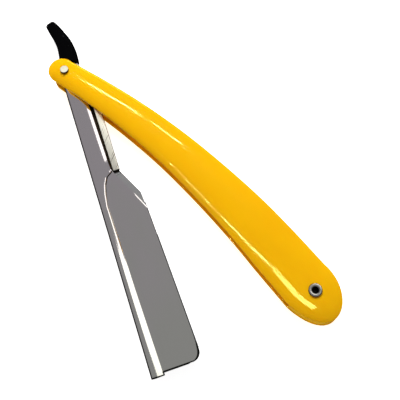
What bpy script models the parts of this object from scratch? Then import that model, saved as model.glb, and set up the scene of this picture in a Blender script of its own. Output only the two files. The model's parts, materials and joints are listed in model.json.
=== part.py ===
"""A barber's folding razor with a replaceable half blade: two curved plastic scales riveted at the tail,
and a folded steel blade holder that turns between them on a pivot pin.

The razor lies flat. X runs from the pivot to the tail rivet, Y points to the convex edge of the handle,
and Z is the thickness. The origin is on the outer face of the back scale, half way along the handle.
The handle's pieces are drawn from the pivot axis. The blade arm has its own frame, whose origin is on that
axis: its first coordinate runs along the arm to the tip, and its second runs across it, from the spine to
the edge.
"""

import math

import bmesh
import bpy
from mathutils import Vector

MM = 0.001

# Handle
PIVOT_AT = (-63.5, -5.4)  # from the origin
PIVOT_TO_RIVET = 127.0
SCALE_THICKNESS = 3.0
SLOT = 5.0  # space between the scales
MIDDLE = SCALE_THICKNESS + SLOT / 2  # height of the middle plane
HANDLE_THICKNESS = 2 * SCALE_THICKNESS + SLOT
HEAD_RADIUS = 5.2
HEAD_CENTRE = (-2.2, -0.1)
BACK_HEAD_RADIUS = 4.9  # the back scale's head is a little shorter
BACK_HEAD_CENTRE = (-1.2, 0.4)
TAIL_START = 123.5  # the tail is half an ellipse from here
TAIL_LENGTH = 14.7
TAIL_DROP = 1.5  # how far the tail's tip sits below the middle line at its start
TAIL_MIDDLE = 0.35  # the middle line runs on into the tail by this share
# Along the handle beyond the head: position, height of its middle line, half its width
HANDLE_STATIONS = (
    (14.0, 2.3, 5.75),
    (32.0, 4.4, 6.45),
    (52.0, 5.5, 7.2),
    (72.0, 5.2, 8.0),
    (92.0, 3.9, 8.8),
    (108.0, 2.0, 9.3),
    (123.5, 0.0, 9.45),
)
CROWN_START = 0.42  # share of the half width where the flat outer face ends
SCALE_EDGE = 1.1  # straight height of a scale's side wall above its inner face
SPACER_SHARE = 0.95  # the spacer's outline as a share of the scales'

# Pivot and tail rivet
PIN_RADIUS = 1.2
PIN_CLEARANCE = 0.08
PIN_HEAD_RADIUS = 1.75
PIN_HEAD_HEIGHT = 0.95
WASHER_RADIUS = 3.6
STACK_GAP = 0.15  # between flat pieces that touch
RIVET_RADIUS = 1.6
RIVET_BORE = 0.95
RIVET_HEAD_RADIUS = 2.35
RIVET_HEAD_HEIGHT = 0.75
BURR_THICKNESS = 0.6
BURR_RIM = 0.1  # the burrs are this much larger than the heads
END_RECESS = 0.1  # the back ends sit this far inside the back face
SEAT_CLEARANCE = 0.2  # round a burr in its counterbore
SEAT_EXTRA_DEPTH = 0.15
SCALE_HOLE_EXTRA = 0.05
CUTTER_REACH = 5.0  # how far a cutter runs past the piece

# Blade arm
ARM_ANGLE = math.radians(-27.7)  # the arm's direction with the razor part open
SPINE = -2.67  # across: the spine's outer line
SHEET = 0.6  # sheet thickness of the blade holder
FOLD_HALF = 1.5  # half the thickness over the folded spine and the shank
JAW_HALF = 0.75  # half the thickness over the two jaws
STEP_WIDTH = 0.9  # the jaws step in over this width
SHANK_START = -4.4
JAW_END = 120.7
SPINE_END = 121.8
CORNER_RADIUS = 3.4
LIP_WIDTH = 1.6  # the front flange's rolled lip
LIP_DROP = 0.22
LIP_FADE = (36.0, 8.0)  # where the lip starts to fade out, and over what length
# Edges of the sheet, along and across the arm
FRONT_EDGE = (
    (SHANK_START, 1.0),
    (-1.0, 3.4),
    (6.0, 4.3),
    (40.0, 5.0),
    (44.4, 5.3),
    (45.9, 6.0),
    (53.5, 9.7),
    (63.2, 13.95),
)
BACK_EDGE = (
    (SHANK_START, 1.0),
    (-1.0, 3.6),
    (8.0, 7.4),
    (20.0, 8.0),
    (44.6, 8.0),
    (46.4, 8.7),
    (56.2, 13.3),
    (60.7, 13.6),
)
EDGE_AT_JAW_START = (63.2, 13.95)
EDGE_AT_JAW_END = (120.7, 15.75)
# Where the raised band along the spine steps in to the jaws
NO_STEP = 24.0  # far beyond the sheet's edge
STEP_TAIL = ((53.0, 0.8), (58.0, 0.15), (90.8, 0.6), (JAW_END, 1.4))
FRONT_STEP = ((SHANK_START, NO_STEP), (40.0, NO_STEP), (44.2, 6.6), (46.8, 2.9), (49.7, 1.6), *STEP_TAIL)
BACK_STEP = ((SHANK_START, NO_STEP), (44.0, NO_STEP), (45.9, 9.6), (48.2, 3.4), (50.6, 1.6), *STEP_TAIL)
STEP_MARGIN = 0.75  # least distance from the step to the sheet's edge and to the bend

# Tang bar and thumb rest
BAR_HALF = 0.6
BAR_EDGE = 8.3
BAR_INNER_EDGE = 6.0  # a gap stays open between the bar and the front flange
BAR_END = 45.1
BAR_ROOT_GAP = 0.45  # from the bar's root to the inside of the spine
TONGUE_HALF = 1.5
TONGUE_END = -21.5
POCKET_MOUTH = -2.0  # along: past the thumb rest's open end
THUMB_CLEARANCE = 0.2
THUMB_TIP_ROUND = 0.9
# Middle line of the thumb rest, along and across the arm, with half its width and half its thickness
THUMB_STATIONS = (
    (-5.6, 2.05, 3.85, 2.2),
    (-10.4, 2.5, 3.6, 2.2),
    (-15.0, 2.35, 3.2, 2.15),
    (-19.6, 1.3, 2.75, 2.0),
    (-23.6, -0.05, 2.4, 1.85),
    (-27.0, -1.0, 1.95, 1.7),
)

# Half blade
BLADE_LENGTH = 42.8
BLADE_WIDTH = 10.8
BLADE_THICKNESS = 0.1
BLADE_EXPOSURE = 0.35
BLADE_FROM_TIP = 3.9
BLADE_NOTCH = (3.6, 3.4)  # length and depth of the snapped corner at each end
BLADE_HALF_SLOT = (19.0, 1.6)  # length and depth of the half slot along the snapped side

CIRCLE_STEPS = 32


def clear_scene():
    for obj in list(bpy.data.objects):
        bpy.data.objects.remove(obj, do_unlink=True)


def make_material(name, colour, roughness, metallic=0.0):
    material = bpy.data.materials.new(name)
    material.use_nodes = True
    shader = material.node_tree.nodes["Principled BSDF"]
    shader.inputs["Base Color"].default_value = (*colour, 1.0)
    shader.inputs["Roughness"].default_value = roughness
    shader.inputs["Metallic"].default_value = metallic
    return material


def smooth_step(value):
    value = min(max(value, 0.0), 1.0)
    return value * value * (3 - 2 * value)


def linear(points, position):
    """The value at a position along a chain of straight pieces."""
    if position <= points[0][0]:
        return points[0][1]
    for (start, low), (end, high) in zip(points, points[1:]):
        if position <= end:
            return low + (high - low) * (position - start) / (end - start)
    return points[-1][1]


def curved(points, position, column=1):
    """The value at a position along a smooth curve through the points (cubic Hermite, central slopes)."""
    last = len(points) - 1
    position = min(max(position, points[0][0]), points[last][0])
    index = next(i for i in range(last) if position <= points[i + 1][0])

    def slope(i):
        before = points[max(i - 1, 0)]
        after = points[min(i + 1, last)]
        return (after[column] - before[column]) / (after[0] - before[0])

    span = points[index + 1][0] - points[index][0]
    t = (position - points[index][0]) / span
    start, end = points[index][column], points[index + 1][column]
    rise = slope(index) * span * (t**3 - 2 * t**2 + t) + slope(index + 1) * span * (t**3 - t**2)
    return start * (2 * t**3 - 3 * t**2 + 1) + end * (3 * t**2 - 2 * t**3) + rise


def spread(start, end, count):
    return [start + (end - start) * i / (count - 1) for i in range(count)]


def build_object(name, vertices, faces, material, parent):
    """Makes a mesh object from points in millimetres, with its faces turned outwards."""
    mesh = bpy.data.meshes.new(name)
    mesh.from_pydata([Vector(v) * MM for v in vertices], [], faces)
    work = bmesh.new()
    work.from_mesh(mesh)
    bmesh.ops.recalc_face_normals(work, faces=work.faces)
    work.to_mesh(mesh)
    work.free()
    mesh.shade_smooth()
    mesh.set_sharp_from_angle(angle=math.radians(35))
    if material:
        mesh.materials.append(material)
    obj = bpy.data.objects.new(name, mesh)
    bpy.context.scene.collection.objects.link(obj)
    obj.parent = parent
    return obj


def lofted(rings):
    """Vertices and faces of a tube through closed rings of equal length, with both ends filled."""
    size = len(rings[0])
    vertices = [point for ring in rings for point in ring]
    faces = []
    for row in range(len(rings) - 1):
        for i in range(size):
            j = (i + 1) % size
            faces.append((row * size + i, row * size + j, (row + 1) * size + j, (row + 1) * size + i))
    faces.append(tuple(range(size)))
    faces.append(tuple(range((len(rings) - 1) * size, len(rings) * size)))
    return vertices, faces


def turned(name, profile, centre, material, parent, steps=CIRCLE_STEPS):
    """A closed solid turned about an upright axis from (radius, height) points that run round its section."""
    columns = []
    for step in range(steps):
        angle = 2 * math.pi * step / steps
        cos, sin = math.cos(angle), math.sin(angle)
        columns.append([(centre[0] + r * cos, centre[1] + r * sin, z) for r, z in profile])
    size = len(profile)
    vertices = [point for column in columns for point in column]
    faces = []
    for step in range(steps):
        here, there = step * size, (step + 1) % steps * size
        for i in range(size):
            j = (i + 1) % size
            faces.append((here + i, here + j, there + j, there + i))
    return build_object(name, vertices, faces, material, parent)


def prism(name, outline, low, high, material, parent):
    rings = [[(x, y, low) for x, y in outline], [(x, y, high) for x, y in outline]]
    vertices, faces = lofted(rings)
    return build_object(name, vertices, faces, material, parent)


def circle(centre, radius, steps=CIRCLE_STEPS):
    angles = [2 * math.pi * i / steps for i in range(steps)]
    return [(centre[0] + radius * math.cos(a), centre[1] + radius * math.sin(a)) for a in angles]


def cut(obj, cutter):
    cutter.hide_render = True
    cutter.display_type = "WIRE"
    modifier = obj.modifiers.new("cut_" + cutter.name, "BOOLEAN")
    modifier.operation = "DIFFERENCE"
    modifier.solver = "EXACT"
    modifier.object = cutter


def make_frame(name, height, angle):
    """An empty on the pivot axis, at a height and turned by an angle."""
    frame = bpy.data.objects.new(name, None)
    bpy.context.scene.collection.objects.link(frame)
    frame.location = Vector((*PIVOT_AT, height)) * MM
    frame.rotation_euler.z = angle
    return frame


# ---------------------------------------------------------------- handle


def handle_outline(centre=HEAD_CENTRE, radius=HEAD_RADIUS, steps_along=19, steps_round=10):
    """Pairs of an outline point and its middle-line point, all the way round the handle."""
    pairs = []
    for i in range(steps_round + 1):  # round head, from its upper side to its lower side
        angle = math.pi / 2 + math.pi * i / steps_round
        edge = (centre[0] + radius * math.cos(angle), centre[1] + radius * math.sin(angle))
        pairs.append((edge, centre))
    rows = ((*centre, radius), *HANDLE_STATIONS)
    stations = spread(centre[0], TAIL_START, steps_along)[1:-1]
    for x in stations:
        middle, half = curved(rows, x), curved(rows, x, 2)
        pairs.append(((x, middle - half), (x, middle)))
    half = HANDLE_STATIONS[-1][2]
    for i in range(2 * steps_round - 3):  # the tail, from its lower side to its upper side
        angle = -math.pi / 2 + math.pi * i / (2 * steps_round - 4)
        drop = TAIL_DROP * math.cos(angle) ** 2
        edge = (TAIL_START + TAIL_LENGTH * math.cos(angle), half * math.sin(angle) - drop)
        middle = (TAIL_START + TAIL_MIDDLE * TAIL_LENGTH * math.cos(angle), -TAIL_MIDDLE * drop)
        pairs.append((edge, middle))
    for x in reversed(stations):
        middle, half = curved(rows, x), curved(rows, x, 2)
        pairs.append(((x, middle + half), (x, middle)))
    return pairs


def make_scale(name, outline, inner, outwards, material, frame):
    """One crowned scale. Its inner face is flat at the height inner; outwards is +1 or -1 along Z."""

    def ring(share, height):
        z = inner + outwards * height
        return [(m[0] + share * (e[0] - m[0]), m[1] + share * (e[1] - m[1]), z) for e, m in outline]

    rings = [ring(0.94, 0.0), ring(0.985, 0.12), ring(1.0, 0.5)]
    crown = SCALE_THICKNESS - SCALE_EDGE
    for step in range(6):
        angle = math.radians(90) * step / 5
        share = CROWN_START + (1 - CROWN_START) * math.cos(angle) ** 0.8
        rings.append(ring(share, SCALE_EDGE + crown * math.sin(angle) ** 0.9))
    vertices, faces = lofted(rings)
    return build_object(name, vertices, faces, material, frame)


def drill(obj, centre, radius, low, high):
    hole = prism(obj.name + "_hole", circle(centre, radius), low, high, None, obj.parent)
    cut(obj, hole)


def make_handle(plastic, steel, frame):
    whole = handle_outline()
    back_outline = handle_outline(BACK_HEAD_CENTRE, BACK_HEAD_RADIUS)
    front = make_scale("front_scale", whole, MIDDLE + SLOT / 2, 1, plastic, frame)
    back = make_scale("back_scale", back_outline, MIDDLE - SLOT / 2, -1, plastic, frame)
    rivet_at = (PIVOT_TO_RIVET, 0.0)
    above = HANDLE_THICKNESS + CUTTER_REACH
    for scale in (front, back):
        drill(scale, (0, 0), PIN_RADIUS + PIN_CLEARANCE + SCALE_HOLE_EXTRA, -CUTTER_REACH, above)
        drill(scale, rivet_at, RIVET_RADIUS + STACK_GAP, -CUTTER_REACH, above)
    seat = END_RECESS + BURR_THICKNESS + SEAT_EXTRA_DEPTH
    wider = BURR_RIM + SEAT_CLEARANCE
    drill(back, (0, 0), PIN_HEAD_RADIUS + wider, -CUTTER_REACH, seat)
    drill(back, rivet_at, RIVET_HEAD_RADIUS + wider, -CUTTER_REACH, seat)

    tail = [pair for pair in whole if pair[0][0] > TAIL_START - STACK_GAP]
    outline = [(m[0] + SPACER_SHARE * (e[0] - m[0]), m[1] + SPACER_SHARE * (e[1] - m[1])) for e, m in tail]
    low, high = MIDDLE - SLOT / 2 + STACK_GAP, MIDDLE + SLOT / 2 - STACK_GAP
    spacer = prism("tail_spacer", outline, low, high, plastic, frame)
    drill(spacer, rivet_at, RIVET_RADIUS + STACK_GAP, low - 1, high + 1)
    make_pivot(steel, frame)
    make_tail_rivet(rivet_at, steel, frame)


def make_pivot(steel, frame):
    top = HANDLE_THICKNESS
    base = END_RECESS
    shaft, head = PIN_RADIUS, PIN_HEAD_RADIUS
    neck = top + STACK_GAP
    profile = [(shaft, base), (shaft, neck), (head, neck), (head, neck + 0.45 * PIN_HEAD_HEIGHT)]
    for step in range(1, 5):
        angle = math.radians(90) * step / 5
        height = neck + PIN_HEAD_HEIGHT * (0.45 + 0.55 * math.sin(angle))
        profile.append((head * (0.35 + 0.65 * math.cos(angle)), height))
    profile.append((0.15 * head, neck + PIN_HEAD_HEIGHT))
    solid_turned("pivot_pin", profile, steel, frame)

    bore = PIN_RADIUS + PIN_CLEARANCE
    burr = ring_profile(bore, head + BURR_RIM, base, base + BURR_THICKNESS)
    turned("pivot_burr", burr, (0, 0), steel, frame)
    reach = SLOT / 2 - FOLD_HALF - 2 * STACK_GAP
    for name, low in (("pivot_washer_back", MIDDLE - SLOT / 2 + STACK_GAP),
                      ("pivot_washer_front", MIDDLE + FOLD_HALF + STACK_GAP)):
        turned(name, ring_profile(bore, WASHER_RADIUS, low, low + reach), (0, 0), steel, frame)


def ring_profile(inner, outer, low, high):
    chamfer = min(0.12, (high - low) / 4)
    return [(inner, low), (outer - chamfer, low), (outer, low + chamfer), (outer, high - chamfer),
            (outer - chamfer, high), (inner, high)]


def solid_turned(name, profile, material, frame):
    """A turned solid without a bore, from (radius, height) points that run up its side, with flat ends."""
    rings = [[(x, y, z) for x, y in circle((0, 0), radius)] for radius, z in profile]
    vertices, faces = lofted(rings)
    return build_object(name, vertices, faces, material, frame)


def make_tail_rivet(centre, steel, frame):
    """A tubular rivet: its open end is rolled over into a round head on the front."""
    seat = HANDLE_THICKNESS + STACK_GAP
    base = END_RECESS
    inner_lip = RIVET_BORE + 0.15
    middle = (inner_lip + RIVET_HEAD_RADIUS) / 2
    half = (RIVET_HEAD_RADIUS - inner_lip) / 2
    profile = [(RIVET_BORE, base), (RIVET_RADIUS, base), (RIVET_RADIUS, seat)]
    for step in range(9):
        angle = math.radians(-60 + 25 * step)
        height = seat + RIVET_HEAD_HEIGHT * max(0.0, 0.5 + 0.6 * math.sin(angle))
        profile.append((middle + half * math.cos(angle), height))
    profile.append((RIVET_BORE, seat + 0.1))
    turned("tail_rivet", profile, centre, steel, frame)
    bore = RIVET_RADIUS + PIN_CLEARANCE
    burr = ring_profile(bore, RIVET_HEAD_RADIUS + BURR_RIM, base, base + BURR_THICKNESS)
    turned("tail_burr", burr, centre, steel, frame)


# ---------------------------------------------------------------- blade arm


def jaw_edge(along):
    (start, low), (end, high) = EDGE_AT_JAW_START, EDGE_AT_JAW_END
    edge = low + (high - low) * (along - start) / (end - start)
    into_corner = along - (JAW_END - CORNER_RADIUS)
    if into_corner > 0:
        into_corner = min(into_corner, CORNER_RADIUS)
        edge -= CORNER_RADIUS - math.sqrt(CORNER_RADIUS**2 - into_corner**2)
    return edge


def sheet_edge(line, along):
    return linear(line, along) if along <= line[-1][0] else jaw_edge(along)


def sheet_height(along, across, edge, step_at, lip):
    """The height of the sheet's middle surface over the arm's middle plane."""
    step = smooth_step((across - step_at) / STEP_WIDTH + 0.5)
    height = FOLD_HALF + (JAW_HALF - FOLD_HALF) * step - SHEET / 2
    if lip:
        over = (across - (edge - LIP_WIDTH)) / LIP_WIDTH
        height -= LIP_DROP * max(0.0, over) ** 2 * (1 - smooth_step((along - LIP_FADE[0]) / LIP_FADE[1]))
    return height


def sheet_section(along):
    """The sheet's middle line at one place: from the front edge round the spine to the back edge."""
    fold = FOLD_HALF - SHEET / 2
    root = SPINE + SHEET / 2 + fold
    points = []
    for side, line, step_line in ((1, FRONT_EDGE, FRONT_STEP), (-1, BACK_EDGE, BACK_STEP)):
        edge = sheet_edge(line, along)
        if along > JAW_END:
            edge = linear(step_line, JAW_END) + STEP_WIDTH
        step_at = linear(step_line, along)
        step = max(min(step_at, edge - STEP_MARGIN), root + STEP_MARGIN)
        places = [edge, edge - 0.12 * (edge - step), step + 0.55 * (edge - step)]
        places += [step + STEP_WIDTH * k for k in (0.5, 0.25, 0.0, -0.25, -0.5)]
        if edge - step < STEP_WIDTH:
            places = spread(edge, step - STEP_WIDTH / 2, len(places))
        places.append((places[-1] + root) / 2)
        flank = [(along, c, side * sheet_height(along, c, edge, step_at, side > 0)) for c in places]
        points.append(flank)
    bend = []
    for step in range(9):
        angle = math.pi * step / 8
        bend.append((along, root - fold * math.sin(angle), fold * math.cos(angle)))
    return points[0] + bend + points[1][::-1]


def make_holder(steel, frame):
    """The blade holder, one folded sheet: round spine, open shank and two jaws."""
    places = spread(SHANK_START, 4.0, 6) + spread(8.0, 40.0, 6)
    places += [43.6, 44.4, 45.2, 45.9, 46.8, 48.2, 49.7, 53.0]  # denser where the jaws step in
    places += spread(56.2, 63.2, 4) + spread(70.0, JAW_END - CORNER_RADIUS, 6)
    for turn in (15, 30, 45, 60, 75, 84, 90):
        places.append(JAW_END - CORNER_RADIUS * (1 - math.sin(math.radians(turn))))
    places += [JAW_END + 0.05, SPINE_END]
    sections = [sheet_section(place) for place in places]
    size = len(sections[0])
    vertices = [point for section in sections for point in section]
    faces = []
    for row in range(len(sections) - 1):
        for i in range(size - 1):
            a = row * size + i
            faces.append((a, a + 1, a + 1 + size, a + size))
    holder = build_object("blade_holder", vertices, faces, steel, frame)
    thicken = holder.modifiers.new("sheet", "SOLIDIFY")
    thicken.thickness = SHEET * MM
    thicken.offset = 0.0
    thicken.use_even_offset = True
    drill(holder, (0, 0), PIN_RADIUS + PIN_CLEARANCE, -CUTTER_REACH, CUTTER_REACH)


def thumb_line(steps):
    """Points on the thumb rest's middle line, with its direction and its two half sizes."""
    count = len(THUMB_STATIONS) - 1
    found = []
    for step in range(steps + 1):
        u = step / steps * count
        index = min(int(u), count - 1)
        t = u - index
        rows = [THUMB_STATIONS[min(max(index + k, 0), count)] for k in (-1, 0, 1, 2)]
        values, rates = [], []
        for a, b, c, d in zip(*rows):
            bend, twist = 2 * a - 5 * b + 4 * c - d, 3 * b - a - 3 * c + d
            values.append((2 * b + (c - a) * t + bend * t**2 + twist * t**3) / 2)
            rates.append(((c - a) + 2 * bend * t + 3 * twist * t**2) / 2)
        length = math.hypot(rates[0], rates[1])
        found.append((values, (rates[0] / length, rates[1] / length)))
    return found


def rounded_ring(centre, direction, half_width, half_height, steps=20, power=0.62):
    """A closed ring in the plane across a direction, between a rectangle and an ellipse."""
    ring = []
    for i in range(steps):
        angle = 2 * math.pi * i / steps
        cos, sin = math.cos(angle), math.sin(angle)
        side = half_width * math.copysign(abs(cos) ** power, cos)
        height = half_height * math.copysign(abs(sin) ** power, sin)
        ring.append((centre[0] - direction[1] * side, centre[1] + direction[0] * side, height))
    return ring


def make_thumb_rest(plastic, frame):
    rings = []
    line = thumb_line(14)
    for (along, across, half_width, half_height), direction in line:
        rings.append(rounded_ring((along, across), direction, half_width, half_height))
    (along, across, half_width, half_height), direction = line[-1]
    reach = THUMB_TIP_ROUND
    for step in (1, 2, 3):
        angle = math.radians(90) * step / 3.3
        ahead = reach * math.sin(angle)
        centre = (along + direction[0] * ahead, across + direction[1] * ahead)
        shrink = reach * (1 - math.cos(angle))
        rings.append(rounded_ring(centre, direction, half_width - shrink, half_height - shrink))
    vertices, faces = lofted(rings)
    rest = build_object("thumb_rest", vertices, faces, plastic, frame)
    sides = tongue_outline(TONGUE_HALF + THUMB_CLEARANCE, TONGUE_END - THUMB_CLEARANCE)
    outline = [(POCKET_MOUTH, sides[0][1])] + sides + [(POCKET_MOUTH, sides[-1][1])]
    height = BAR_HALF + THUMB_CLEARANCE
    cut(rest, prism("thumb_rest_pocket", outline, -height, height, None, frame))


def tongue_outline(half, end):
    """Open outline of the tang's tongue, which follows the thumb rest's middle line: out along its lower side
    and back along its upper side.
    """
    line = [(v, d) for v, d in thumb_line(14) if v[0] > end]
    upper = [(v[0] + d[1] * half, v[1] - d[0] * half) for v, d in line]
    lower = [(v[0] - d[1] * half, v[1] + d[0] * half) for v, d in line]
    return lower + upper[::-1]


def make_tang_bar(steel, frame):
    """The flat bar inside the shank, with the tongue that carries the thumb rest."""
    inside = SPINE + SHEET + BAR_ROOT_GAP
    tongue = tongue_outline(TONGUE_HALF, TONGUE_END)
    root = [(-5.0, 5.3), (6.0, 7.5), (14.0, BAR_EDGE)]
    free_end = [(BAR_END, BAR_EDGE), (BAR_END, BAR_INNER_EDGE), (15.0, BAR_INNER_EDGE)]
    heel = [(12.0, 4.6), (10.0, inside), (2.0, inside), (-3.4, -1.2)]
    bar = prism("tang_bar", tongue + root + free_end + heel, -BAR_HALF, BAR_HALF, steel, frame)
    drill(bar, (0, 0), PIN_RADIUS + PIN_CLEARANCE, -CUTTER_REACH, CUTTER_REACH)


def make_blade(steel, frame):
    """Half of a double-edged blade, edge outwards, held between the jaws."""
    length, width = BLADE_LENGTH, BLADE_WIDTH
    notch, deep = BLADE_NOTCH
    slot, slot_depth = BLADE_HALF_SLOT
    middle = length / 2
    snapped = [(0, -width + deep), (notch, -width + deep), (notch, -width), (middle - slot / 2, -width),
               (middle - slot / 2 + 1, -width + slot_depth), (middle + slot / 2 - 1, -width + slot_depth),
               (middle + slot / 2, -width), (length - notch, -width), (length - notch, -width + deep),
               (length, -width + deep)]
    outline = [(length, 0), (0, 0)] + snapped
    (start, low), (end, high) = EDGE_AT_JAW_START, EDGE_AT_JAW_END
    slope = math.atan2(high - low, end - start)
    blade = prism("half_blade", outline, -BLADE_THICKNESS / 2, BLADE_THICKNESS / 2, steel, frame)
    tail = JAW_END - BLADE_FROM_TIP - length
    blade.location = Vector((tail, jaw_edge(tail) + BLADE_EXPOSURE, 0)) * MM
    blade.rotation_euler.z = slope
    return blade


def main():
    clear_scene()
    yellow = make_material("yellow_plastic", (0.95, 0.48, 0.0), 0.22)
    black = make_material("black_plastic", (0.012, 0.012, 0.014), 0.42)
    polished = make_material("polished_steel", (0.60, 0.59, 0.58), 0.16, 1.0)
    bright = make_material("rivet_steel", (0.75, 0.73, 0.68), 0.2, 1.0)
    make_handle(yellow, bright, make_frame("handle_frame", 0.0, 0.0))
    arm = make_frame("arm_frame", MIDDLE, ARM_ANGLE)
    make_holder(polished, arm)
    make_tang_bar(polished, arm)
    make_thumb_rest(black, arm)
    make_blade(polished, arm)


main()
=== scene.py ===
"""The looks of a folding barber's razor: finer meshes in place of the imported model's, procedural materials,
soft studio light and the camera. Lengths in the geometry code are in millimetres, and build() turns them into
metres in the model's frame. Lights, the floor and the camera are placed in metres.
"""

import json
import math

import bmesh
import bpy
from mathutils import Matrix, Vector


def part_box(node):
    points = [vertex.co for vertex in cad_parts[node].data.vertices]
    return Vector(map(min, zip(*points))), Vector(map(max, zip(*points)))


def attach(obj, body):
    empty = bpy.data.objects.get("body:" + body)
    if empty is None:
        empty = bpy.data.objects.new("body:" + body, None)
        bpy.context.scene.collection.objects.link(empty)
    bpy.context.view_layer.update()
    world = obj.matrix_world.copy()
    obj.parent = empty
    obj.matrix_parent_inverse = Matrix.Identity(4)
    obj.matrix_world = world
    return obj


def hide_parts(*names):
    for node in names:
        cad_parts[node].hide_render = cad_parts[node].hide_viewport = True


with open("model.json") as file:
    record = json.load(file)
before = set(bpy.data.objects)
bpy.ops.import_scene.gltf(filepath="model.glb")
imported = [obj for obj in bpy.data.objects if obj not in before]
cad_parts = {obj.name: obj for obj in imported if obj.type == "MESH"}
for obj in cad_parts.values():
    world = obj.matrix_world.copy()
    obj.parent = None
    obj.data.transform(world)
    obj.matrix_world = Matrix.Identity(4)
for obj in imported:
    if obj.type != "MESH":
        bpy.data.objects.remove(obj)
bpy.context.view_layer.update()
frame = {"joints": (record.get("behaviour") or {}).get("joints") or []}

MM = 0.001
JOINTS = {joint["name"]: joint for joint in frame["joints"]}
PIVOT = Vector(JOINTS["pivot"]["pos_m"]) / MM
RIVET = (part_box("tail_rivet")[0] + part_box("tail_rivet")[1]) / 2 / MM - PIVOT

# Handle, drawn from the pivot axis in the plane z = 0
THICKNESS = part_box("front_scale")[1].z / MM
SCALE_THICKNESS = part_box("back_scale")[1].z / MM
SLOT = THICKNESS - 2 * SCALE_THICKNESS
MIDDLE = THICKNESS / 2
HEAD_RADIUS = 5.15
HEAD_CENTRE = (-2.35, -0.35)
BACK_HEAD_RADIUS = 5.05  # the back scale's head is a little shorter
BACK_HEAD_CENTRE = (-1.3, 0.0)
EDGE_SHARE = 0.996  # the scales' outline as a share of the drawn one
TAIL_START = 123.5  # the tail is half an ellipse from here
TAIL_LENGTH = 14.7
TAIL_DROP = 1.5  # how far the tail's tip sits below the middle line at its start
TAIL_MIDDLE = 0.35  # the middle line runs on into the tail by this share
HANDLE_STATIONS = (  # along, middle line, half width
    (14.0, 2.3, 5.75),
    (32.0, 4.4, 6.45),
    (52.0, 5.5, 7.2),
    (72.0, 5.2, 8.0),
    (92.0, 3.9, 8.8),
    (108.0, 2.0, 9.3),
    (123.5, 0.0, 9.45),
)
SCALE_EDGE = 1.1  # straight height of a scale's side wall above its inner face
SCALE_FOOT = (  # share of the half width, height: up the side wall from the inner face
    (0.965, 0.0), (0.985, 0.03), (0.996, 0.1), (1.0, 0.22), (1.0, 0.66),
)
CROWN_RINGS = 72
CROWN_SPREAD = 0.7  # draws the crown's rings together at its edge
CROWN_POWERS = (2.2, 1.35)  # how long the crown stays flat, and how steeply it falls at its edge
SPACER_SHARE = 0.98  # the spacer's outline as a share of the scales'
FLAT_GAP = 0.15  # between flat pieces that touch

# Pins, rings and their holes: radii, then depths
PIN_RADIUS = 1.2
PIN_HEAD = 1.62
RIVET_BORE = 1.1
RIVET_RADIUS = 1.6
RIVET_ROLL_CENTRE = 1.78
RIVET_ROLL = 0.56
SCALE_PIN_HOLE = 1.33
SCALE_RIVET_HOLE = 1.75
PIN_BURR_SEAT = 2.05
RIVET_BURR_SEAT = 2.65
ARM_HOLE = 1.28
RIVET_RING_HOLE = 1.68
AXIS = 0.0001  # closes a turned profile at its axis
SEAT_DEPTH = 0.85
CUTTER_REACH = 5  # how far a cutter runs past the piece
ARM_CUT = (-CUTTER_REACH, CUTTER_REACH)

# Blade arm, drawn from the pivot axis in the arm's middle plane
ARM_ANGLE = math.radians(-27.7)
SPINE = -2.67  # across: the spine's outer line
SHEET = 0.6  # sheet thickness of the blade holder
FOLD_HALF = 1.5  # half the thickness over the folded spine and the shank
JAW_HALF = 0.75  # half the thickness over the two jaws
STEP_WIDTH = 0.65  # the jaws step in over this width
STEP_MARGIN = 0.75  # least distance from the step to the sheet's edge and to the bend
SHANK_START = -4.4
SHANK_END = 45.5
SLOPE_BLEND = (50, 50)  # where the step starts to widen into a slope, and over what length
JAW_START = 63.3
JAW_END = 120.7
SPINE_END = 121.8
CORNER_RADIUS = 3.4
SECTIONS = (  # start, end and number of the sheet's sections in each stretch before its corner
    (SHANK_START, 4.0, 12),
    (6.0, 40.0, 14),
    (41.0, 56.0, 46),
    (56.6, 64.0, 20),
    (67.0, JAW_END - CORNER_RADIUS, 20),
)
LIP_WIDTH = 1.35  # the front flange's rolled lip
LIP_DROP = 0.28
LIP_ROUND = 0.16  # share of the lip's width that bends
LIP_FADE = (38, 6)  # where the lip starts to fade out, and over what length
SHOULDER_BEVEL = 0.18
SHOULDER_DROP = 0.06
SHOULDER_BLEND = (55, 3)  # where the shoulder's bevel starts, and over what length it comes in
EDGE_SHADE_WIDTH = (0.2, 0.8)  # of the band of painted shade along the jaws' cut edge, before and in the corner
EDGE_SHADE_BLEND = (113, 6)  # where the band of painted shade starts to widen, and over what length
RIDGE_LINE = ((50.0, -0.6), (75.0, -1.0), (121.8, -0.7))
FRONT_EDGE = (
    (-4.4, 1.0), (-1.0, 3.4), (6.0, 4.3), (40.0, 5.0), (44.4, 5.3), (45.9, 6.0), (53.5, 9.7), (63.2, 13.95),
)
BACK_EDGE = (
    (-4.4, 1.0), (-1.0, 3.6), (8.0, 7.4), (20.0, 8.0), (44.6, 8.0), (46.4, 8.7), (56.2, 13.3), (60.7, 13.6),
)
EDGE_AT_JAW_START = (63.2, 13.95)
EDGE_AT_JAW_END = (120.7, 15.75)
NO_STEP = 24.0  # far beyond the sheet's edge
STEP_TAIL = ((53.0, 0.8), (58.0, 0.15), (90.8, 0.6), (120.7, 1.4))
FRONT_STEP = ((-4.4, NO_STEP), (40.0, NO_STEP), (44.2, 6.6), (46.8, 2.9), (49.7, 1.6), *STEP_TAIL)
BACK_STEP = ((-4.4, NO_STEP), (44.0, NO_STEP), (45.9, 9.6), (48.2, 3.4), (50.6, 1.6), *STEP_TAIL)
BAR_HALF = 0.6
BAR_EDGE = 8.45
BAR_INNER_EDGE = 5.9
BAR_END = 45.1
BAR_ROOT_GAP = 0.45  # from the bar's root to the inside of the spine
BAR_BEVEL = 0.24
TONGUE_HALF = 1.5
TONGUE_END = -21.5
THUMB_CLEARANCE = 0.2
THUMB_TIP_ROUND = 1.0
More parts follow.
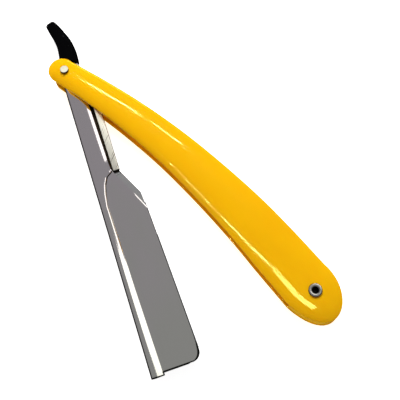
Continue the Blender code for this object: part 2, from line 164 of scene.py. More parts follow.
THUMB_STATIONS = (  # along, across, half width, half height
    (-5.6, 2.05, 3.85, 2.2),
    (-10.4, 2.5, 3.6, 2.2),
    (-15.0, 2.35, 3.2, 2.15),
    (-19.6, 1.3, 2.75, 2.0),
    (-23.6, 0.1, 2.45, 1.85),
    (-26.0, -0.72, 2.03, 1.7),
)

# Half blade
BLADE_LENGTH = 42.8
BLADE_WIDTH = 10.8
BLADE_HALF = 0.05  # half its thickness
BLADE_NOTCH = (3.6, 3.4)  # length and depth of the snapped corner at each end
BLADE_HALF_SLOT = (19.0, 1.6)  # length and depth of the half slot along the snapped side
BLADE_GRIND = 0.55  # width of the ground bevels
BLADE_EXPOSURE = 0.18  # how far the edge stands out of the jaws
BLADE_FROM_TIP = 3.9

# Steps of round and curved shapes, and the angles above which edges are sharp
CIRCLE_STEPS = 64
TURN_STEPS = 72
OUTLINE_STEPS = (120, 36)  # along the handle, and round half its head
SHARP = 38
SHARP_MOULDED = 50
SHARP_BAR = 30
SHARP_CAP = 55


# ---------------------------------------------------------------- node helpers


class Nodes:
    """A material's node tree, with short calls for the nodes that every material here uses."""

    def __init__(self, name):
        self.material = bpy.data.materials.new(name)
        self.material.use_nodes = True
        self.tree = self.material.node_tree
        self.shader = self.tree.nodes["Principled BSDF"]
        self.coords = self.tree.nodes.new("ShaderNodeTexCoord")

    def add(self, kind, **settings):
        node = self.tree.nodes.new(kind)
        for key, value in settings.items():
            setattr(node, key, value)
        return node

    def link(self, source, target):
        self.tree.links.new(source, target)

    def place(self, scale, turn=0.0):
        """Object coordinates, turned about Z and then stretched."""
        mapping = self.add("ShaderNodeMapping", vector_type="TEXTURE")
        mapping.inputs["Rotation"].default_value = (0, 0, turn)
        mapping.inputs["Scale"].default_value = scale
        self.link(self.coords.outputs["Object"], mapping.inputs["Vector"])
        return mapping.outputs["Vector"]

    def noise(self, size, turn=0.0, detail=4.0, roughness=0.55):
        """Noise whose grain measures size (x, y, z), in metres."""
        node = self.add("ShaderNodeTexNoise")
        node.inputs["Scale"].default_value = 1.0
        node.inputs["Detail"].default_value = detail
        node.inputs["Roughness"].default_value = roughness
        self.link(self.place(size, turn), node.inputs["Vector"])
        return node.outputs["Fac"]

    def ramp(self, value, stops):
        """A colour ramp from (position, colour or grey) stops."""
        node = self.add("ShaderNodeValToRGB")
        elements = node.color_ramp.elements
        while len(elements) < len(stops):
            elements.new(0.5)
        for element, (position, colour) in zip(elements, stops):
            element.position = position
            element.color = (*colour, 1) if isinstance(colour, tuple) else (colour, colour, colour, 1)
        self.link(value, node.inputs["Fac"])
        return node.outputs["Color"]

    def math(self, operation, first, second=0.0):
        node = self.add("ShaderNodeMath", operation=operation)
        for socket, value in zip(node.inputs, (first, second)):
            if isinstance(value, (int, float)):
                socket.default_value = value
            else:
                self.link(value, socket)
        return node.outputs["Value"]

    def mix(self, factor, first, second):
        node = self.add("ShaderNodeMix", data_type="RGBA")
        for socket, value in ((node.inputs[0], factor), (node.inputs[6], first), (node.inputs[7], second)):
            if isinstance(value, tuple):
                socket.default_value = (*value, 1)
            else:
                self.link(value, socket)
        return node.outputs[2]

    def bump(self, height, strength, distance, normal=None):
        node = self.add("ShaderNodeBump")
        node.inputs["Strength"].default_value = strength
        node.inputs["Distance"].default_value = distance
        self.link(height, node.inputs["Height"])
        if normal is not None:
            self.link(normal, node.inputs["Normal"])
        return node.outputs["Normal"]

    def into(self, name, value):
        socket = self.shader.inputs[name]
        if isinstance(value, (int, float, tuple)):
            socket.default_value = value
        else:
            self.link(value, socket)


def yellow_plastic():
    n = Nodes("yellow_plastic")
    blotches = n.noise((0.03, 0.012, 0.012), detail=3)
    n.into("Base Color", n.ramp(blotches, ((0.3, (0.94, 0.475, 0.0)), (0.7, (0.98, 0.515, 0.0)))))
    smears = n.noise((0.009, 0.004, 0.004), detail=6)
    scratches = n.ramp(n.noise((0.02, 0.00025, 0.00025), turn=0.5, detail=2), ((0.66, 0.0), (0.72, 1.0)))
    rough = n.math("ADD", n.ramp(smears, ((0.35, 0.05), (0.7, 0.09))), n.math("MULTIPLY", scratches, 0.06))
    n.into("Roughness", rough)
    skin = n.bump(n.noise((0.0014, 0.0014, 0.0014), detail=2), 0.02, 0.0003)
    n.into("Normal", n.bump(scratches, 0.04, 0.0001, skin))
    n.into("Specular IOR Level", 0.2)
    n.into("Subsurface Weight", 0.12)
    n.into("Subsurface Radius", (0.0016, 0.0007, 0.0001))
    n.into("Subsurface Scale", 1.0)
    return n.material


def black_plastic():
    n = Nodes("black_plastic")
    blotches = n.noise((0.004, 0.004, 0.004), detail=5)
    specks = n.ramp(n.noise((0.0009, 0.0009, 0.0009), detail=3), ((0.70, 0.0), (0.76, 1.0)))
    n.into("Base Color", n.mix(specks, (0.0012, 0.0012, 0.0016), (0.03, 0.03, 0.033)))
    n.into("Roughness", n.ramp(blotches, ((0.3, 0.34), (0.7, 0.52))))
    grain = n.noise((0.00045, 0.00045, 0.00045), detail=3)
    n.into("Normal", n.bump(grain, 0.22, 0.0001))
    n.into("Specular IOR Level", 0.04)
    return n.material


def fold_painted_shade():
    """The inner face of the folded sheet, near black: painted shade in the hollow of the fold."""
    n = Nodes("inside_painted_shade")
    blotches = n.noise((0.004, 0.002, 0.002), ARM_ANGLE, detail=5)
    # near-black colour: painted shade inside the fold
    n.into("Base Color", n.ramp(blotches, ((0.35, (0.010, 0.007, 0.004)), (0.7, (0.035, 0.022, 0.010)))))
    n.into("Roughness", 0.75)
    n.into("Normal", n.bump(n.noise((0.0006, 0.0006, 0.0006), detail=4), 0.3, 0.0001))
    return n.material


# near-black colour for steel faces that turn to the side: painted shade
SIDE_SHADE_PAINT = (0.05, 0.045, 0.04)
SCORE_TINT = (0.12, 0.10, 0.07)


def steel(name, tint_a, tint_b, rough_low, rough_high, turn, scratch=0.5, scored=0.0):
    """Polished sheet steel: lengthwise rubbing marks, faint smears, a few deeper scratches, and painted shade
    on the faces that turn to the side.

    Its tint drifts along the piece, and scored is how dark its scored lines are.
    """
    n = Nodes(name)
    clouds = n.noise((0.022, 0.009, 0.009), turn, detail=3)
    split = n.add("ShaderNodeSeparateXYZ")
    n.link(n.place((0.12, 0.12, 0.12), turn), split.inputs["Vector"])
    drift = n.math("ADD", n.math("MULTIPLY", clouds, 0.7), split.outputs["X"])
    tint = n.ramp(drift, ((0.3, tint_a), (0.85, tint_b)))
    if scored:
        marks = n.noise((0.00035, 0.012, 0.012), turn + 0.9, detail=2)
        tint = n.mix(n.ramp(marks, ((0.64, 0.0), (0.67, scored))), tint, SCORE_TINT)
    rubbing = n.noise((0.03, 0.00022, 0.00022), turn, detail=5, roughness=0.7)
    cross = n.noise((0.0006, 0.012, 0.012), turn + 0.6, detail=3)
    smears = n.ramp(n.noise((0.006, 0.003, 0.003), turn, detail=5), ((0.3, rough_low), (0.72, rough_high)))
    rough = n.math("ADD", smears, n.math("MULTIPLY", rubbing, 0.06))
    normal = n.add("ShaderNodeSeparateXYZ")
    n.link(n.coords.outputs["Normal"], normal.inputs["Vector"])
    # faces turned to the side are darkened: painted shade
    shade_paint = n.ramp(n.math("ABSOLUTE", normal.outputs["Z"]), ((0.5, 1.0), (0.72, 0.0)))
    n.into("Base Color", n.mix(shade_paint, tint, SIDE_SHADE_PAINT))
    n.into("Metallic", 1.0)
    n.into("Roughness", n.math("ADD", rough, n.math("MULTIPLY", shade_paint, 0.25)))
    fine = n.bump(rubbing, 0.10 * scratch, 0.0001)
    n.into("Normal", n.bump(n.ramp(cross, ((0.66, 0.0), (0.70, 1.0))), 0.12 * scratch, 0.00005, fine))
    return n.material


def make_materials():
    return {
        "yellow": yellow_plastic(),
        "black": black_plastic(),
        "inside": fold_painted_shade(),
        # near-black copy of the steel for edges, rims, tip and bend: painted shade
        "shade_paint": steel("steel_in_painted_shade", (0.045, 0.042, 0.04), (0.03, 0.03, 0.028), 0.3, 0.45, ARM_ANGLE),
        "strip": steel("bright_strip", (1.0, 1.0, 1.0), (0.97, 0.97, 0.95), 0.10, 0.2, ARM_ANGLE),
        "sheet": steel("polished_sheet", (1.0, 0.935, 0.98), (0.93, 0.94, 0.88), 0.06, 0.11, ARM_ANGLE),
        "bar": steel("bar_steel", (0.93, 0.91, 0.83), (0.86, 0.86, 0.78), 0.26, 0.42, ARM_ANGLE, 1.0, 0.9),
        "rivet": steel("rivet_steel", (0.82, 0.80, 0.74), (0.74, 0.74, 0.70), 0.16, 0.30, 0.3, 0.8),
        "pin": steel("pin_steel", (0.80, 0.79, 0.66), (0.70, 0.69, 0.58), 0.2, 0.34, 0.3, 0.8),
        "blade": steel("blade_steel", (0.62, 0.64, 0.66), (0.56, 0.57, 0.58), 0.2, 0.3, ARM_ANGLE, 0.6),
    }


# ---------------------------------------------------------------- mesh helpers


def handle_frame():
    return Matrix.Translation(Vector((PIVOT.x, PIVOT.y, 0.0)))


def arm_frame():
    return Matrix.Translation(Vector((PIVOT.x, PIVOT.y, MIDDLE))) @ Matrix.Rotation(ARM_ANGLE, 4, "Z")


def build(name, vertices, faces, place, modifiers=(), sharp=SHARP):
    """Makes an object from points in millimetres, applies its modifiers and shades it smooth."""
    mesh = bpy.data.meshes.new(name)
    mesh.from_pydata([(place @ Vector(v)) * MM for v in vertices], [], faces)
    work = bmesh.new()
    work.from_mesh(mesh)
    bmesh.ops.recalc_face_normals(work, faces=work.faces)
    work.to_mesh(mesh)
    work.free()
    obj = bpy.data.objects.new(name, mesh)
    bpy.context.scene.collection.objects.link(obj)
    for kind, settings in modifiers:
        modifier = obj.modifiers.new(kind.lower(), kind)
        for key, value in settings.items():
            setattr(modifier, key, value)
    finish_mesh(obj, sharp)
    return obj


def finish_mesh(obj, sharp):
    """Applies the modifiers, then shades smooth with sharp edges above an angle."""
    if obj.modifiers:
        graph = bpy.context.evaluated_depsgraph_get()
        made = bpy.data.meshes.new_from_object(obj.evaluated_get(graph))
        obj.modifiers.clear()
        obj.data = made
    obj.data.shade_smooth()
    obj.data.set_sharp_from_angle(angle=math.radians(sharp))


def drill(obj, cutters, sharp=SHARP):
    """Cuts every cutter out of the piece and removes the cutters."""
    for cutter in cutters:
        modifier = obj.modifiers.new("cut", "BOOLEAN")
        modifier.operation = "DIFFERENCE"
        modifier.solver = "EXACT"
        modifier.object = cutter
    finish_mesh(obj, sharp)
    for cutter in cutters:
        bpy.data.objects.remove(cutter)


def dress(obj, material, body, slot, *nodes):
    """Gives a piece its material and its body, and hides the model's nodes that it stands for. The finish
    named by slot is not used.
    """
    obj.data.materials.clear()
    obj.data.materials.append(material)
    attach(obj, body)
    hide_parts(*nodes)


def bevel(width):
    limit = math.radians(40)
    settings = {"width": width * MM, "segments": 3, "limit_method": "ANGLE", "angle_limit": limit}
    return ("BEVEL", settings)


def lofted(rings):
    """Vertices and faces of a tube through closed rings of equal length, with both ends filled."""
    size = len(rings[0])
    vertices = [point for ring in rings for point in ring]
    faces = []
    for row in range(len(rings) - 1):
        for i in range(size):
            j = (i + 1) % size
            faces.append((row * size + i, row * size + j, (row + 1) * size + j, (row + 1) * size + i))
    faces.append(tuple(range(size)))
    faces.append(tuple(range((len(rings) - 1) * size, len(rings) * size)))
    return vertices, faces


def circle(centre, radius):
    angles = [2 * math.pi * i / CIRCLE_STEPS for i in range(CIRCLE_STEPS)]
    return [(centre[0] + radius * math.cos(a), centre[1] + radius * math.sin(a)) for a in angles]


def prism(name, outline, low, high, place, modifiers=(), sharp=SHARP):
    rings = [[(x, y, low) for x, y in outline], [(x, y, high) for x, y in outline]]
    vertices, faces = lofted(rings)
    return build(name, vertices, faces, place, modifiers, sharp)


def turned(name, profile, centre, place, sharp=SHARP):
    """A closed solid of revolution about Z, from (radius, height) points that run round its section."""
    size = len(profile)
    vertices, faces = [], []
    for step in range(TURN_STEPS):
        angle = 2 * math.pi * step / TURN_STEPS
        cos, sin = math.cos(angle), math.sin(angle)
        vertices += [(centre[0] + r * cos, centre[1] + r * sin, z) for r, z in profile]
        here, there = step * size, (step + 1) % TURN_STEPS * size
        for i in range(size):
            j = (i + 1) % size
            faces.append((here + i, here + j, there + j, there + i))
    return build(name, vertices, faces, place, sharp=sharp)


def smooth_step(value):
    value = min(max(value, 0.0), 1.0)
    return value * value * (3 - 2 * value)


def blend(position, stretch):
    """From 0 before a stretch, given by its start and its length, to 1 after it."""
    start, length = stretch
    return smooth_step((position - start) / length)


def linear(points, position):
    """Straight lines through the points, level before the first and after the last."""
    if position <= points[0][0]:
        return points[0][1]
    for (start, low), (end, high) in zip(points, points[1:]):
        if position <= end:
            return low + (high - low) * (position - start) / (end - start)
    return points[-1][1]


def curved(points, position, column=1):
    """Cubic Hermite curve through the points, with central slopes."""
    last = len(points) - 1
    position = min(max(position, points[0][0]), points[last][0])
    index = next(i for i in range(last) if position <= points[i + 1][0])

    def slope(i):
        before, after = points[max(i - 1, 0)], points[min(i + 1, last)]
        return (after[column] - before[column]) / (after[0] - before[0])

    span = points[index + 1][0] - points[index][0]
    t = (position - points[index][0]) / span
    start, end = points[index][column], points[index + 1][column]
    rise = slope(index) * span * (t**3 - 2 * t**2 + t) + slope(index + 1) * span * (t**3 - t**2)
    return start * (2 * t**3 - 3 * t**2 + 1) + end * (3 * t**2 - 2 * t**3) + rise


def spread(start, end, count):
    return [start + (end - start) * i / (count - 1) for i in range(count)]


# ---------------------------------------------------------------- handle


def handle_outline(centre=HEAD_CENTRE, radius=HEAD_RADIUS):
    """Pairs of an outline point and its middle-line point, all the way round."""
    steps_along, steps_round = OUTLINE_STEPS
    pairs = []
    for i in range(steps_round + 1):
        angle = math.pi / 2 + math.pi * i / steps_round
        edge = (centre[0] + radius * math.cos(angle), centre[1] + radius * math.sin(angle))
        pairs.append((edge, centre))
    rows = ((*centre, radius), *HANDLE_STATIONS)
    stations = spread(centre[0], TAIL_START, steps_along)[1:-1]
    for x in stations:
        middle, half = curved(rows, x), curved(rows, x, 2)
        pairs.append(((x, middle - half), (x, middle)))
    half = HANDLE_STATIONS[-1][2]
    for i in range(2 * steps_round + 1):
        angle = -math.pi / 2 + math.pi * i / (2 * steps_round)
        drop = TAIL_DROP * math.cos(angle) ** 2
        edge = (TAIL_START + TAIL_LENGTH * math.cos(angle), half * math.sin(angle) - drop)
        pairs.append((edge, (TAIL_START + TAIL_MIDDLE * TAIL_LENGTH * math.cos(angle), -TAIL_MIDDLE * drop)))
    for x in reversed(stations):
        middle, half = curved(rows, x), curved(rows, x, 2)
        pairs.append(((x, middle + half), (x, middle)))
    return pairs


def crown(share):
    """Height of the outer face over the side wall's top, from 1 in the middle to 0 at the edge."""
    flat, fall = CROWN_POWERS
    return (1 - share**flat) ** (1 / fall)


def scale_mesh(name, outline, inner, outwards):
    """One scale: up its side wall from the inner face, then inwards over the crowned outer face."""
    rise = SCALE_THICKNESS - SCALE_EDGE

    def ring(share, height):
        reach, z = EDGE_SHARE * share, inner + outwards * height
        return [(m[0] + reach * (e[0] - m[0]), m[1] + reach * (e[1] - m[1]), z) for e, m in outline]

    rings = [ring(share, height) for share, height in SCALE_FOOT]
    turns = [math.radians(90) * i / CROWN_RINGS for i in range(CROWN_RINGS)]
    shares = [math.cos(turn) ** CROWN_SPREAD for turn in turns] + [0.03, 0.01]
    rings += [ring(share, SCALE_EDGE + rise * crown(share)) for share in shares]
    vertices, faces = lofted(rings)
    return build(name, vertices, faces, handle_frame(), sharp=SHARP_MOULDED)


def make_handle(look):
    rivet = (RIVET.x, RIVET.y)
    through = (-CUTTER_REACH, THICKNESS + CUTTER_REACH)
    seated = (-CUTTER_REACH, SEAT_DEPTH)
    holes = [(circle((0, 0), SCALE_PIN_HOLE), *through), (circle(rivet, SCALE_RIVET_HOLE), *through)]
    seats = [(circle((0, 0), PIN_BURR_SEAT), *seated), (circle(rivet, RIVET_BURR_SEAT), *seated)]
    scales = (
        ("front_scale", handle_outline(), 1, holes),
        ("back_scale", handle_outline(BACK_HEAD_CENTRE, BACK_HEAD_RADIUS), -1, holes + seats),
    )
    for name, outline, outwards, spans in scales:
        piece = scale_mesh(name + "_moulding", outline, MIDDLE + outwards * SLOT / 2, outwards)
        drill(piece, [prism("cutter", *span, handle_frame()) for span in spans], SHARP_MOULDED)
        dress(piece, look["yellow"], "handle", "handle_plastic", name)

    tail = [pair for pair in handle_outline() if pair[0][0] >= TAIL_START - 0.01]
    outline = [(m[0] + SPACER_SHARE * (e[0] - m[0]), m[1] + SPACER_SHARE * (e[1] - m[1])) for e, m in tail]
    low, high = MIDDLE - SLOT / 2 + FLAT_GAP, MIDDLE + SLOT / 2 - FLAT_GAP
    spacer = prism("tail_spacer_moulding", outline, low, high, handle_frame(), [bevel(0.15)], SHARP_MOULDED)
    drill(spacer, [prism("cutter", circle(rivet, SCALE_RIVET_HOLE), 0, THICKNESS, handle_frame())])
    dress(spacer, look["yellow"], "handle", "handle_plastic", "tail_spacer")


def ring_profile(inner, outer, low, high):
    """A washer's section, with rounded outer corners and broken inner ones."""
    chamfer = 0.14
    points = [(inner, low + chamfer / 2), (inner + chamfer / 2, low)]
    for centre, start in (((outer - chamfer, low + chamfer), -90), ((outer - chamfer, high - chamfer), 0)):
        for step in range(5):
            angle = math.radians(start + 22.5 * step)
            points.append((centre[0] + chamfer * math.cos(angle), centre[1] + chamfer * math.sin(angle)))
    points += [(inner + chamfer / 2, high), (inner, high - chamfer / 2)]
    return points


def make_pivot_pin(look):
    """The pin from its plain back end to its peened head, which is flat with a small round at its rim."""
    low, high = (corner.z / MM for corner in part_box("pivot_pin"))
    seat, fillet = THICKNESS + FLAT_GAP, 0.2
    profile = [(AXIS, low), (PIN_RADIUS - 0.12, low), (PIN_RADIUS, low + 0.12), (PIN_RADIUS, seat - 0.3)]
    profile += [(PIN_RADIUS, seat), (PIN_HEAD - 0.1, seat), (PIN_HEAD, seat + 0.1)]
    for step in range(7):
        angle = math.radians(15 * step)
        across = PIN_HEAD - fillet + fillet * math.cos(angle)
        profile.append((across, high - 0.26 + fillet * math.sin(angle)))
    profile += [(1.0, high - 0.03), (0.6, high - 0.01), (AXIS, high)]
    pin = turned("pivot_pin_peened", profile, (0, 0), handle_frame(), sharp=42)
    dress(pin, look["pin"], "handle", "rivet_steel", "pivot_pin")


def make_tail_rivet(look):
    """A tube whose front end is rolled over outwards."""
    low, high = (corner.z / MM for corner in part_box("tail_rivet"))
    seat = THICKNESS + FLAT_GAP
    profile = [(RIVET_BORE, low), (RIVET_RADIUS - 0.1, low), (RIVET_RADIUS, low + 0.1), (RIVET_RADIUS, seat)]
    middle = seat + 0.28
    for step in range(19):
        angle = math.radians(-70 + 230 * step / 18)
        across = RIVET_ROLL_CENTRE + RIVET_ROLL * math.cos(angle)
        profile.append((across, middle + (high - middle) * math.sin(angle)))
    profile = [(r, max(z, seat)) if r > RIVET_RADIUS else (r, z) for r, z in profile]
    profile += [(RIVET_BORE + 0.06, high - 0.42), (RIVET_BORE, high - 0.6)]
    rivet = turned("tail_rivet_rolled", profile, (RIVET.x, RIVET.y), handle_frame(), sharp=60)
    dress(rivet, look["rivet"], "handle", "rivet_steel", "tail_rivet")


def make_rings(look):
    """The burrs on the back ends of the pin and the rivet, and the two pivot washers."""
    rings = (
        ("pivot_burr", (0, 0), ARM_HOLE),
        ("tail_burr", (RIVET.x, RIVET.y), RIVET_RING_HOLE),
        ("pivot_washer_front", (0, 0), ARM_HOLE),
        ("pivot_washer_back", (0, 0), ARM_HOLE),
    )
    for node, centre, inner in rings:
        corner_low, corner_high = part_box(node)
        outer = (corner_high.x - corner_low.x) / 2 / MM
        profile = ring_profile(inner, outer, corner_low.z / MM, corner_high.z / MM)
        ring = turned(node + "_ring", profile, centre, handle_frame())
        dress(ring, look["rivet"], "handle", "rivet_steel", node)


# ---------------------------------------------------------------- blade arm


def jaw_edge(along):
    """The jaws' free edge: a straight line, then the rounded corner."""
    (start, low), (end, high) = EDGE_AT_JAW_START, EDGE_AT_JAW_END
    edge = low + (high - low) * (along - start) / (end - start)
    into_corner = along - (JAW_END - CORNER_RADIUS)
    if into_corner > 0:
        into_corner = min(into_corner, CORNER_RADIUS)
        edge -= CORNER_RADIUS - math.sqrt(CORNER_RADIUS**2 - into_corner**2)
    return edge


def sheet_edge(line, along):
    return linear(line, along) if along <= line[-1][0] else jaw_edge(along)


def sheet_height(along, across, edge, step_at, lip):
    """Half the holder's height over its middle plane, at the sheet's own middle."""
    step = smooth_step((across - step_at) / STEP_WIDTH + 0.5)
    ridge = linear(RIDGE_LINE, along)
    slope = min(max((across - ridge) / (step_at + STEP_WIDTH / 2 - ridge), 0.0), 1.0)
    step += (slope - step) * blend(along, SLOPE_BLEND)
    height = FOLD_HALF + (JAW_HALF - FOLD_HALF) * step - SHEET / 2
    if not lip:
        return height
    if along < JAW_START:
        bevelled = max(0.0, 1 - (edge - across) / SHOULDER_BEVEL)
        height -= SHOULDER_DROP * bevelled * blend(along, SHOULDER_BLEND)
    over = max(0.0, (across - (edge - LIP_WIDTH)) / LIP_WIDTH)
    drop = over - LIP_ROUND / 2 if over > LIP_ROUND else over**2 / (2 * LIP_ROUND)
    return height - LIP_DROP * drop * (1 - blend(along, LIP_FADE))


def rim_width(along):
    """Width of the sheet's rim: its bevel at the shoulder, and the band of painted shade along the jaws' cut
    edge.
    """
    if along < JAW_START:
        return SHOULDER_BEVEL
    narrow, wide = EDGE_SHADE_WIDTH
    return narrow + (wide - narrow) * blend(along, EDGE_SHADE_BLEND)


def flank_places(along, edge, step, root):
    """Places across one side of the sheet, from its free edge to the bend, close together at each crease."""
    beyond = step + STEP_WIDTH / 2
    if edge - step < 1.0:
        places = spread(edge, step - STEP_WIDTH / 2, 20)
    else:
        rim, half_bend = rim_width(along) / LIP_WIDTH, LIP_ROUND / 2
        flat = 1 - LIP_ROUND
        shares = (0.0, rim, (rim + flat) / 2, flat, 1 - half_bend, 1.0, 1 + half_bend)
        if edge - shares[-1] * LIP_WIDTH > beyond + 0.3:
            places = [edge - LIP_WIDTH * share for share in shares]
        else:
            places = spread(edge, edge - 0.6 * (edge - beyond), 7)
        places += spread(places[-1], beyond + 0.1, 6)[1:]
        places += [beyond - STEP_WIDTH * k / 7 for k in range(8)]
    start, ridge = places[-1], linear(RIDGE_LINE, along)
    places += [start + (ridge - start) * k / 4 for k in range(1, 4)] + [ridge + 0.05, ridge - 0.05]
    return places + [(places[-1] + root) / 2]


def sheet_section(along):
    """The sheet's middle line at one place: front edge, round the spine, back edge."""
    fold = FOLD_HALF - SHEET / 2
    root = SPINE + SHEET / 2 + fold
    flanks = []
    for side, line, step_line in ((1, FRONT_EDGE, FRONT_STEP), (-1, BACK_EDGE, BACK_STEP)):
        edge = sheet_edge(line, along)
        if along > JAW_END:
            edge = linear(step_line, JAW_END) + STEP_WIDTH
        step_at = linear(step_line, along)
        step = max(min(step_at, edge - STEP_MARGIN), root + STEP_MARGIN)
        places = flank_places(along, edge, step, root)
        flanks.append([(along, c, side * sheet_height(along, c, edge, step_at, side > 0)) for c in places])
    bend = []
    for step in range(17):
        angle = math.pi * step / 16
        bend.append((along, root - fold * math.sin(angle), fold * math.cos(angle)))
    return flanks[0] + bend + flanks[1][::-1]


def holder_finish(along, across, height, normal):
    """The finish of a face: 0 polished, 1 painted shade inside the fold, 2 painted shade on the rim, tip or
    bend, 3 bright inside.
    """
    upright = abs(normal.z)
    past_spine = across > SPINE + 0.9 * SHEET
    turned_in = normal.z * height < 0 or upright < 0.9 and across < 0
    inside = turned_in and past_spine and abs(height) < FOLD_HALF - SHEET + 0.06
    rim = along > JAW_START and across > jaw_edge(along) - 0.8 * rim_width(along)
    tip = along > JAW_END - 0.25 and across > 1.7 or along > SPINE_END - 0.3
    # inner faces of the shank: painted shade
    if inside and along < SHANK_END:
        return 1
    # the spine's sides, the jaws' cut edge and the tip: painted shade
    if across < SPINE + 0.5 and upright < 0.7 or (rim or tip) and height > 0:
        return 2
    return 3 if inside and height < 0 and along < JAW_START else 0


def make_holder(look):
    places = [place for stretch in SECTIONS for place in spread(*stretch)]
    places += [JAW_END - CORNER_RADIUS * (1 - math.sin(math.radians(6 * k))) for k in range(1, 16)]
    places += [JAW_END + 0.04, JAW_END + 0.6, SPINE_END - 0.3, SPINE_END]
    sections = [sheet_section(place) for place in places]
    size = len(sections[0])
    vertices = [point for section in sections for point in section]
    faces = []
    for row in range(len(sections) - 1):
        for i in range(size - 1):
            a = row * size + i
            faces.append((a, a + 1, a + 1 + size, a + size))
    thicken = ("SOLIDIFY", {"thickness": SHEET * MM, "offset": 0.0, "use_quality_normals": True})
    holder = build("blade_holder_sheet", vertices, faces, arm_frame(), [thicken], SHARP_MOULDED)
    drill(holder, [prism("cutter", circle((0, 0), ARM_HOLE), *ARM_CUT, arm_frame())], SHARP_MOULDED)
    dress(holder, look["sheet"], "arm", "polished_steel", "blade_holder")
    # the inside and edge materials are painted shade
    for finish in ("inside", "shade_paint", "strip"):
        holder.data.materials.append(look[finish])
    to_arm = arm_frame().inverted()
    for face in holder.data.polygons:
        face.material_index = holder_finish(*(to_arm @ (face.center / MM)), face.normal)


def thumb_line(steps):
    """Points on the thumb rest's middle line with their half sizes, and the directions there."""
    count = len(THUMB_STATIONS) - 1
    found = []
    for step in range(steps + 1):
        u = step / steps * count
        index = min(int(u), count - 1)
        t = u - index
        rows = [THUMB_STATIONS[min(max(index + k, 0), count)] for k in (-1, 0, 1, 2)]
        values, rates = [], []
        for a, b, c, d in zip(*rows):
            square, cube = 2 * a - 5 * b + 4 * c - d, 3 * b - a - 3 * c + d
            values.append(0.5 * (2 * b + (c - a) * t + square * t**2 + cube * t**3))
            rates.append(0.5 * ((c - a) + 2 * square * t + 3 * cube * t**2))
        length = math.hypot(rates[0], rates[1])
        found.append((values, (rates[0] / length, rates[1] / length)))
    return found


def rounded_ring(centre, direction, half_width, half_height):
    """A closed ring in the plane across a direction, between a rectangle and an ellipse."""
    steps, power = 56, 0.62
    ring = []
    for i in range(steps):
        angle = 2 * math.pi * i / steps
        cos, sin = math.cos(angle), math.sin(angle)
        side = half_width * math.copysign(abs(cos) ** power, cos)
        height = half_height * math.copysign(abs(sin) ** power, sin)
        ring.append((centre[0] - direction[1] * side, centre[1] + direction[0] * side, height))
    return ring


def tongue_outline(half, end):
    """The tang's tongue: out along its lower side and back along its upper side."""
    line = [(v, d) for v, d in thumb_line(28) if v[0] > end]
    upper = [(v[0] + d[1] * half, v[1] - d[0] * half) for v, d in line]
    lower = [(v[0] - d[1] * half, v[1] + d[0] * half) for v, d in line]
    return lower + upper[::-1]


def make_thumb_rest(look):
    """The cover: rings along its line, a rounded tip, and the pocket that the tang's tongue fills."""
    rings = []
    line = thumb_line(40)[:-1]
    for (along, across, half_width, half_height), direction in line:
        rings.append(rounded_ring((along, across), direction, half_width, half_height))
    (along, across, half_width, half_height), direction = line[-1]
    for step in range(1, 9):
        angle = math.radians(82) * step / 8
        reach = THUMB_TIP_ROUND * math.sin(angle)
        centre = (along + direction[0] * reach, across + direction[1] * reach)
        shrink = THUMB_TIP_ROUND * (1 - math.cos(angle))
        rings.append(rounded_ring(centre, direction, half_width - shrink, half_height - shrink))
    vertices, faces = lofted(rings)
    rest = build("thumb_rest_cap", vertices, faces, arm_frame(), sharp=SHARP_CAP)
    sides = tongue_outline(TONGUE_HALF + THUMB_CLEARANCE, TONGUE_END - THUMB_CLEARANCE)
    mouth = -2.0
    outline = [(mouth, sides[0][1])] + sides + [(mouth, sides[-1][1])]
    depth = BAR_HALF + THUMB_CLEARANCE
    drill(rest, [prism("cutter", outline, -depth, depth, arm_frame())], SHARP_CAP)
    dress(rest, look["black"], "arm", "thumb_rest_plastic", "thumb_rest")


def make_tang_bar(look):
    inside = SPINE + SHEET + BAR_ROOT_GAP
    outline = tongue_outline(TONGUE_HALF, TONGUE_END) + [(-5.0, 5.3), (6.0, 7.5), (14.0, BAR_EDGE)]
    outline += [(BAR_END, BAR_EDGE), (BAR_END, BAR_INNER_EDGE), (15.0, BAR_INNER_EDGE)]
    outline += [(12.0, 4.6), (10.0, inside), (2.0, inside), (-3.4, -1.2)]
    bar = prism("tang_bar_flat", outline, -BAR_HALF, BAR_HALF, arm_frame(), [bevel(BAR_BEVEL)], SHARP_BAR)
    drill(bar, [prism("cutter", circle((0, 0), ARM_HOLE), *ARM_CUT, arm_frame())], SHARP_BAR)
    dress(bar, look["bar"], "arm", "polished_steel", "tang_bar")
    # the bar's sides take the near-black steel: painted shade
    bar.data.materials.append(look["shade_paint"])
    for face in bar.data.polygons:
        if abs(face.normal.z) < 0.96:
            face.material_index = 1


def blade_outline():
    """The blade's two ends and its snapped side, with a notch at each end and half a slot in the middle."""
    notch, deep = BLADE_NOTCH
    slot, slot_depth = BLADE_HALF_SLOT
    back, middle = -BLADE_WIDTH, BLADE_LENGTH / 2
    start = [(0, back + deep), (notch, back + deep), (notch, back), (middle - slot / 2, back)]
    half_slot = [(middle - slot / 2 + 1, back + slot_depth), (middle + slot / 2 - 1, back + slot_depth)]
    end = [(middle + slot / 2, back), (BLADE_LENGTH - notch, back), (BLADE_LENGTH - notch, back + deep)]
    return start + half_slot + end + [(BLADE_LENGTH, back + deep)]


